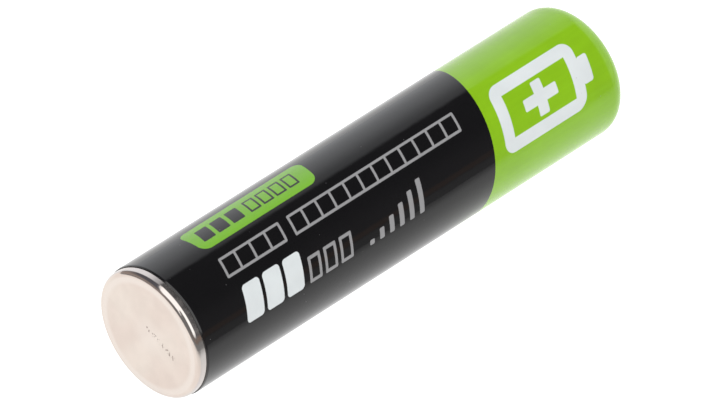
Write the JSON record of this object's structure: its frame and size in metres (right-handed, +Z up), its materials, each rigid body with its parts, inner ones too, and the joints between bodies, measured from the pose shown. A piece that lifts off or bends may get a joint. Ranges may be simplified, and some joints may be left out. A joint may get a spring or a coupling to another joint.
{
  "type": "cylindrical battery cell",
  "caption": "Small rechargeable cylindrical cell: flat metal negative end, printed heat-shrink sleeve over a steel can, and a raised positive button with a rubber safety vent.",
  "frame": {"origin": "centre of the flat negative end face, on the cell's axis", "axes": "+X along the cell's axis, from the negative end towards the positive button; +Z up with the cell lying on its side"},
  "size_m": [0.0444, 0.0104, 0.0104],
  "materials": {
    "nickel_plated_steel": "satin",
    "sleeve_film": "gloss",
    "white_fibre": "matte",
    "black_rubber": "matte",
    "nylon": "satin",
    "positive_paste": "matte",
    "negative_paste": "matte",
    "separator_cloth": "matte",
    "nickel_strip": "satin",
    "insulating_tape": "satin",
    "insulating_disc": "matte"
  },
  "bodies": {
    "cell": {"can": "nickel_plated_steel", "shrink_sleeve": "sleeve_film", "top_washer": "white_fibre", "positive_cap": "nickel_plated_steel", "lid_plate": "nickel_plated_steel", "gasket": "nylon", "positive_electrode": "positive_paste", "negative_core": "nickel_plated_steel", "negative_coat_inner": "negative_paste", "negative_coat_outer": "negative_paste", "separator_inner": "separator_cloth", "separator_outer": "separator_cloth", "positive_tab": "nickel_strip", "tab_tape": "insulating_tape", "top_insulator": "insulating_disc", "bottom_insulator": "insulating_disc"},
    "vent_seal": {"vent_plug": "black_rubber"}
  },
  "joints": [
    {"name": "vent_lift", "type": "slide", "parent": "cell", "child": "vent_seal", "axis": [1, 0, 0], "range_m": [0, 0.00015], "stiffness_N_per_m": 20000, "springref_m": -0.0001, "deforming": ["vent_plug"]}
  ]
}
